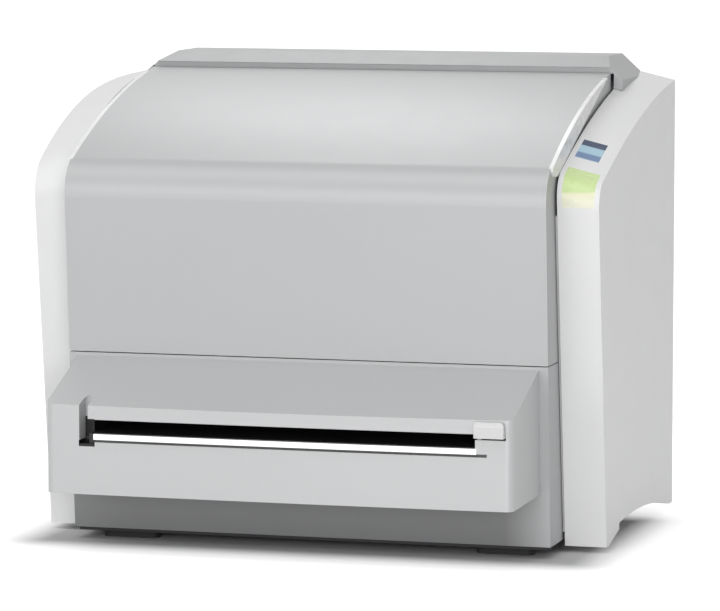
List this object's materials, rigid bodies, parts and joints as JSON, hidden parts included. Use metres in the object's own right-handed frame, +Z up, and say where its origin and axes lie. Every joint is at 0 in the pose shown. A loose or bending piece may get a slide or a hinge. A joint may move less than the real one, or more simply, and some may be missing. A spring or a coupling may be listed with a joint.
{
  "type": "tabletop computed radiography reader",
  "caption": "Tabletop computed radiography reader: silver lift-up hood, white side panels, projecting cassette slot bezel, with scan drum, feed rollers and scan carriage inside.",
  "frame": {"origin": "on the table, under the middle of the reader's outer box", "axes": "+Z up, -Y towards the user who faces the cassette slot, +X to that user's right"},
  "size_m": [0.58, 0.4842, 0.4775],
  "materials": {
    "silver_moulding": "moulded plastic with a satin silver-grey paint",
    "white_moulding": "satin white moulded plastic",
    "dark_moulding": "low-friction black moulding",
    "display_window": "glossy display window, blue",
    "status_light": "translucent green window that fades to pale",
    "polished_metal": "ground and polished",
    "sheet_steel": "zinc-plated sheet",
    "grey_painted_steel": "satin grey paint",
    "aluminium": "machined",
    "black_anodised": "black anodised",
    "bearing_metal": "machined",
    "gear_metal": "machined",
    "motor_case": "black paint",
    "black_rubber": "matt",
    "clear_acrylic": "polished clear acrylic",
    "white_reflector": "bright white",
    "lamp_glass": "frosted tube",
    "circuit_board": "green solder mask with black components",
    "black_plastic": "fine-textured black plastic"
  },
  "bodies": {
    "chassis": {"base_pan": "sheet_steel", "rubber_feet": "black_rubber", "left_frame_plate": "sheet_steel", "right_frame_plate": "sheet_steel", "frame_tie_bars": "aluminium", "left_side_panel": "white_moulding", "right_side_panel": "white_moulding", "display_window": "display_window", "status_light": "status_light", "front_fascia": "silver_moulding", "cassette_bezel": "silver_moulding", "slot_lip": "polished_metal", "throat_floor": "dark_moulding", "throat_roof": "dark_moulding", "guide_rod": "polished_metal", "hinge_brackets": "sheet_steel", "hinge_pins": "polished_metal", "rear_top_cover": "silver_moulding", "rear_panel": "grey_painted_steel", "drum_bearings": "bearing_metal", "roller_bushes": "bearing_metal", "screw_bushes": "bearing_metal", "drum_belt": "black_rubber", "drum_motor": "motor_case", "feed_motor": "motor_case", "plate_guide": "sheet_steel", "carriage_rails": "polished_metal", "rail_blocks": "aluminium", "screw_motor": "motor_case", "eraser_housing": "white_reflector", "eraser_lamps": "lamp_glass", "main_board": "circuit_board", "data_ports": "black_plastic", "power_supply": "sheet_steel", "power_inlet": "black_plastic", "switch_body": "black_plastic", "fan_frame": "black_plastic"},
    "hood": {"hood": "silver_moulding", "hood_end_trims": "white_moulding", "hood_hinge_arms": "aluminium"},
    "cassette_guide": {"cassette_guide": "white_moulding"},
    "drum": {"drum_shell": "black_anodised", "drum_end_caps": "aluminium", "drum_shaft": "polished_metal", "drum_pulley": "aluminium"},
    "motor_pulley": {"drum_motor_pulley": "aluminium"},
    "drive_roller": {"drive_roller": "black_rubber", "drive_roller_shaft": "polished_metal", "drive_gear": "gear_metal"},
    "pinch_roller": {"pinch_roller": "black_rubber", "pinch_roller_shaft": "polished_metal"},
    "feed_pinion": {"feed_pinion": "gear_metal"},
    "scan_carriage": {"scan_carriage": "aluminium", "optics_housing": "black_anodised", "light_collector": "clear_acrylic", "photomultiplier": "black_anodised"},
    "lead_screw": {"lead_screw": "polished_metal"},
    "power_rocker": {"power_rocker": "black_plastic"},
    "fan_rotor": {"fan_rotor": "black_plastic"}
  },
  "joints": [
    {"name": "hood_hinge", "type": "hinge", "parent": "chassis", "child": "hood", "pos_m": [0, 0.1298, 0.453], "axis": [-1, 0, 0], "range_deg": [0, 60]},
    {"name": "guide_slide", "type": "slide", "parent": "chassis", "child": "cassette_guide", "axis": [-1, 0, 0], "range_m": [0, 0.152]},
    {"name": "drum_spin", "type": "hinge", "parent": "chassis", "child": "drum", "pos_m": [0, 0.0358, 0.292], "axis": [1, 0, 0], "continuous": true},
    {"name": "drum_motor_spin", "type": "hinge", "parent": "chassis", "child": "motor_pulley", "pos_m": [0, 0.1528, 0.215], "axis": [1, 0, 0], "continuous": true},
    {"name": "drive_roller_spin", "type": "hinge", "parent": "chassis", "child": "drive_roller", "pos_m": [0, -0.0542, 0.113], "axis": [1, 0, 0], "continuous": true},
    {"name": "pinch_roller_spin", "type": "hinge", "parent": "chassis", "child": "pinch_roller", "pos_m": [0, -0.0542, 0.1378], "axis": [1, 0, 0], "continuous": true},
    {"name": "feed_motor_spin", "type": "hinge", "parent": "chassis", "child": "feed_pinion", "pos_m": [0, -0.0542, 0.083], "axis": [1, 0, 0], "continuous": true},
    {"name": "carriage_travel", "type": "slide", "parent": "chassis", "child": "scan_carriage", "axis": [1, 0, 0], "range_m": [-0.172, 0.172]},
    {"name": "lead_screw_spin", "type": "hinge", "parent": "chassis", "child": "lead_screw", "pos_m": [0, -0.0802, 0.3], "axis": [1, 0, 0], "range_deg": [-3100, 3100]},
    {"name": "power_rocker_tilt", "type": "hinge", "parent": "chassis", "child": "power_rocker", "pos_m": [0.105, 0.2348, 0.06], "axis": [0, 0, -1], "range_deg": [0, 10]},
    {"name": "fan_spin", "type": "hinge", "parent": "chassis", "child": "fan_rotor", "pos_m": [-0.15, 0.2228, 0.11], "axis": [0, 1, 0], "continuous": true}
  ],
  "couplings": [
    {"joint": "drum_motor_spin", "follows": "drum_spin", "ratio": 2.6667},
    {"joint": "pinch_roller_spin", "follows": "drive_roller_spin", "ratio": -1.4},
    {"joint": "feed_motor_spin", "follows": "drive_roller_spin", "ratio": -2},
    {"joint": "lead_screw_spin", "follows": "carriage_travel", "rad_per_m": 314.16}
  ]
}
